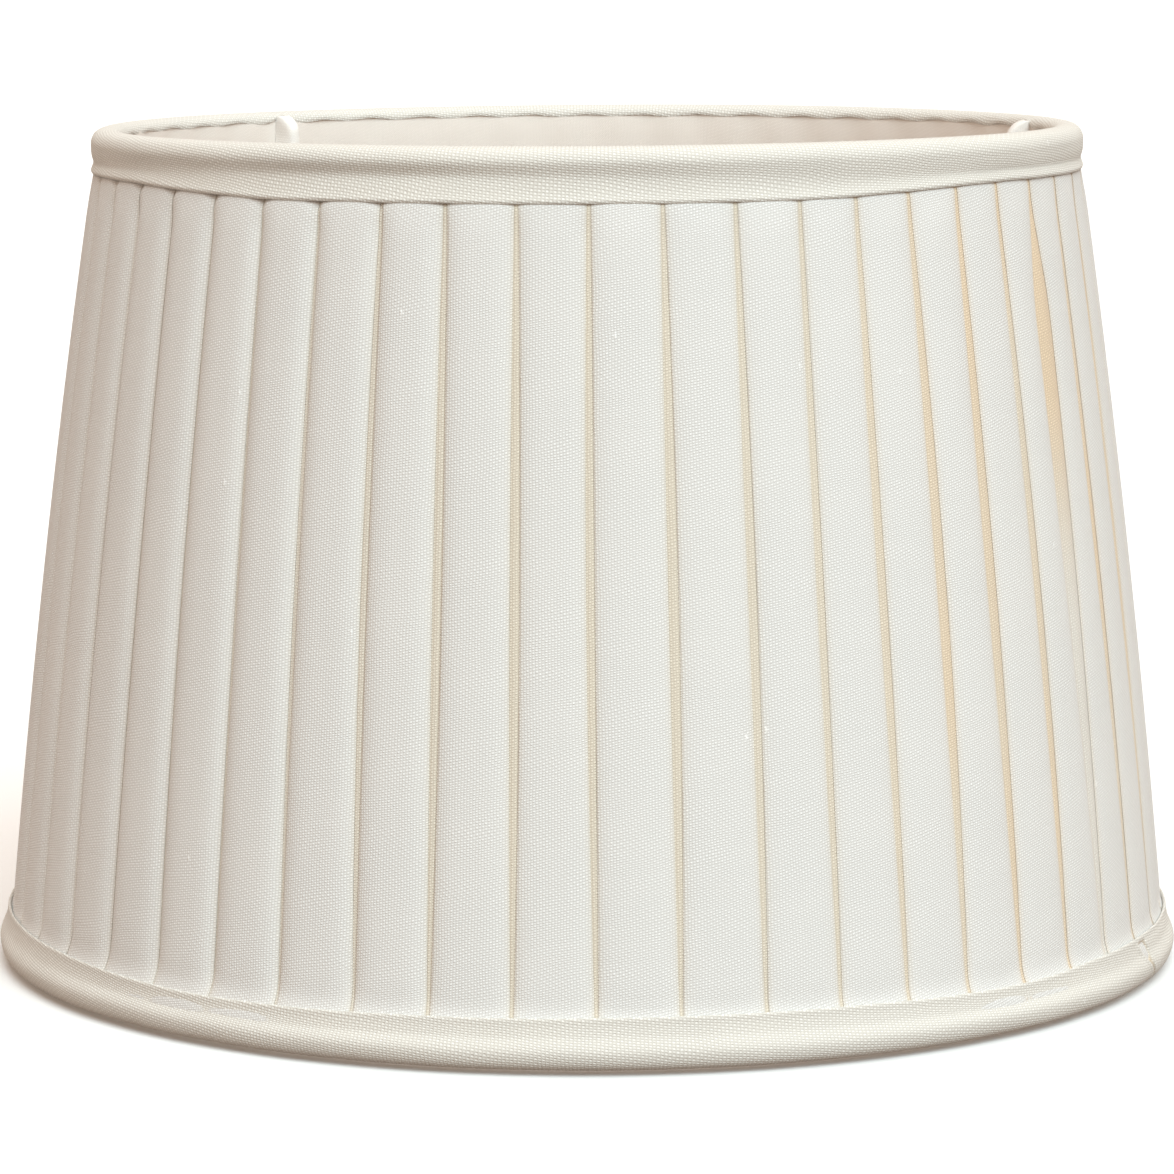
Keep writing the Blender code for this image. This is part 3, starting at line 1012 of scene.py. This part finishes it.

# %% [markdown]
# ## The tape, the lining and the cotton wrap
# The tape is a slightly coarser linen, creamier than the cover, with peach shade painted into its
# crease.
# The lining is fine brushed cotton, warm and nearly plain, with faint blotches, and the
# neateners are a more neutral cotton. The wrap on the two rings is narrow cotton wound round and
# round, so its finish adds slanting edges. It has no thread coordinates of its own and is drawn
# in the space of the object instead.

# %% Finish the tape, the lining and the tabs
TAPE = ((0.57, 0.54, 0.49), (0.90, 0.875, 0.835), (0.76, 0.72, 0.655))
COTTON = ((0.82, 0.76, 0.70), (0.92, 0.865, 0.81), (0.87, 0.79, 0.73))
TAB_COTTON = ((0.80, 0.765, 0.725), (0.90, 0.865, 0.825), (0.845, 0.80, 0.755))
tape, tape_shader, tape_colour = cloth_finish("binding_tape", (0.90, 0.66, 0.12), TAPE, 24.0, 0.13)
# painted shade: peach in the crease of the tape's folded end
paint_fold_shade(tape, tape_shader, tape_colour, PEACH_LIGHT_AND_SHADE)
cotton, cotton_shader, cotton_colour = cloth_finish(
    "lining_cotton", (0.45, 0.45, 0.7), COTTON, 22.0, 0.05
)
cotton.node_tree.links.new(cotton_colour, cotton_shader.inputs["Base Color"])
tab_cotton, tab_shader, tab_colour = cloth_finish(
    "tab_cotton", (0.45, 0.45, 0.1), TAB_COTTON, 9.0, 0.06
)
tab_cotton.node_tree.links.new(tab_colour, tab_shader.inputs["Base Color"])

# %% Finish the wound wrap
wrap, wrap_shader = new_finish("wrap_cotton", 0.88, 0.1)
spot = node(wrap, "ShaderNodeTexCoord").outputs["Object"]
parts = node(wrap, "ShaderNodeSeparateXYZ", Vector=spot)
bearing = sums(wrap, "ARCTAN2", parts.outputs["Y"], parts.outputs["X"])
climb = sums(wrap, "MULTIPLY", parts.outputs["Z"], 300.0)
turns = sums(wrap, "FRACT", sums(wrap, "MULTIPLY_ADD", bearing, 96.0 / TURN, climb))
edge = sums(wrap, "LESS_THAN", turns, 0.12)
fibre = patches(wrap, spot, 0.0006, 3.0)
wrap_height = sums(wrap, "MULTIPLY_ADD", edge, -0.8, fibre)
wrap_colour = blend(wrap, fibre, (0.74, 0.70, 0.62), (0.90, 0.87, 0.80))
wrap_shown = blend(wrap, edge, wrap_colour, (0.55, 0.50, 0.42))
wrap.node_tree.links.new(wrap_shown, wrap_shader.inputs["Base Color"])
relief_on(wrap, wrap_shader, wrap_height, 0.15)
print("wrap finish has", len(wrap.node_tree.nodes), "nodes")

# %% [markdown]
# ## The coated metal
# The wires and the fitter ring are steel under a white powder coat. Powder melts into a skin with
# a faint orange-peel relief and a satin gloss, slightly yellower and rougher in patches where it
# has aged. The same recipe serves both, the pressed ring being a little glossier than the wire.

# %% Finish the metal
def powder_coat(name, roughness, grain):
    """A satin white coat with an orange-peel relief whose bumps are about grain metres across."""
    finish, shader = new_finish(name, roughness, 0.0, 0.5)
    here = node(finish, "ShaderNodeTexCoord").outputs["Object"]
    peel = patches(finish, here, grain, 2.0)
    age = patches(finish, here, 0.018, 3.0)
    colour = blend(finish, age, (0.86, 0.855, 0.83), (0.78, 0.765, 0.72))
    finish.node_tree.links.new(colour, shader.inputs["Base Color"])
    rough = sums(finish, "MULTIPLY_ADD", age, 0.18, roughness - 0.08)
    finish.node_tree.links.new(rough, shader.inputs["Roughness"])
    relief_on(finish, shader, peel, 0.04)
    return finish


wire_coat = powder_coat("coated_wire", 0.42, 0.0009)
steel_coat = powder_coat("coated_steel", 0.34, 0.0011)

# %% [markdown]
# ## The floor
# The floor is plain and pale and reaches far past the view, so it fills the background too. It
# is a flat disc of rings, finest in the middle, with a barely visible mottling, like paint. Two
# switches keep it out of the shade's own light: it throws none back up, and it doesn't block the
# sky below it, which lights the shade's undersides evenly instead.

# %% Lay the floor
def lay_floor(reach=30.0, rings=24, spokes=64):
    """A wide disc of rings and spokes just under the shade, in metres."""
    points, faces = [(0.0, 0.0, 0.0)], []
    for ring in range(1, rings + 1):
        radius = reach * (ring / rings) ** 2.2
        for spoke in range(spokes):
            turn = TURN * spoke / spokes
            points.append((radius * math.cos(turn), radius * math.sin(turn), 0.0))
    for spoke in range(spokes):
        faces.append((0, 1 + spoke, 1 + (spoke + 1) % spokes))
    for ring in range(rings - 1):
        base = 1 + ring * spokes
        for spoke in range(spokes):
            after = (spoke + 1) % spokes
            faces.append((base + spoke, base + spokes + spoke, base + spokes + after, base + after))
    mesh = bpy.data.meshes.new("studio_floor")
    mesh.from_pydata(points, [], faces)
    floor = bpy.data.objects.new("studio_floor", mesh)
    floor.location.z = -0.0002
    floor.visible_diffuse = False
    floor.visible_shadow = False
    bpy.context.scene.collection.objects.link(floor)
    return floor


floor = lay_floor()
floor_paint, floor_shader = new_finish("floor_paint", 0.85)
mottling = patches(floor_paint, node(floor_paint, "ShaderNodeTexCoord").outputs["Object"], 0.4)
floor_colour = blend(floor_paint, mottling, (0.93, 0.93, 0.93), (0.95, 0.95, 0.95))
floor_paint.node_tree.links.new(floor_colour, floor_shader.inputs["Base Color"])
floor.data.materials.append(floor_paint)
print("floor laid")

# %% [markdown]
# ## Dress the frame
# Now each piece gets its finish, takes the place of the plain solid it stands for, and is tied to
# the body of the model. Nothing on a shade moves by itself, so there is one body, the root. The
# ring wires, the struts and the wound wraps stay as they are and only get a better finish.

# %% Put each piece in its place
def dress(piece, finish, slot, *solids):
    """Gives a piece its finish and lets it stand for its solids; the slot is not used."""
    piece.data.materials.append(finish)
    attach(piece, "root")
    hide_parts(*solids)


round_pieces = (
    (linen_cover, linen, "cover_linen", "pleated_cover"),
    (top_tape, tape, "binding_tape", "top_binding"),
    (bottom_tape, tape, "binding_tape", "bottom_binding"),
    (cotton_lining, cotton, "lining_cotton", "lining"),
    (pressed_ring, steel_coat, "coated_steel", "fitter_ring"),
)
for round_piece in round_pieces:
    dress(*round_piece)
for number in (1, 2, 3):
    dress(arms[number - 1], wire_coat, "coated_wire", f"spider_arm_{number}")
    dress(tabs[number - 1], tab_cotton, "lining_cotton", f"arm_neatener_{number}")
for name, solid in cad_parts.items():
    kept_finish = wrap if name.endswith("_wrap") else wire_coat
    if name.startswith(("strut_", "top_ring", "bottom_ring")):
        solid.data.materials.clear()
        solid.data.materials.append(kept_finish)
print("pieces dressed:", len(round_pieces) + len(arms) + len(tabs))
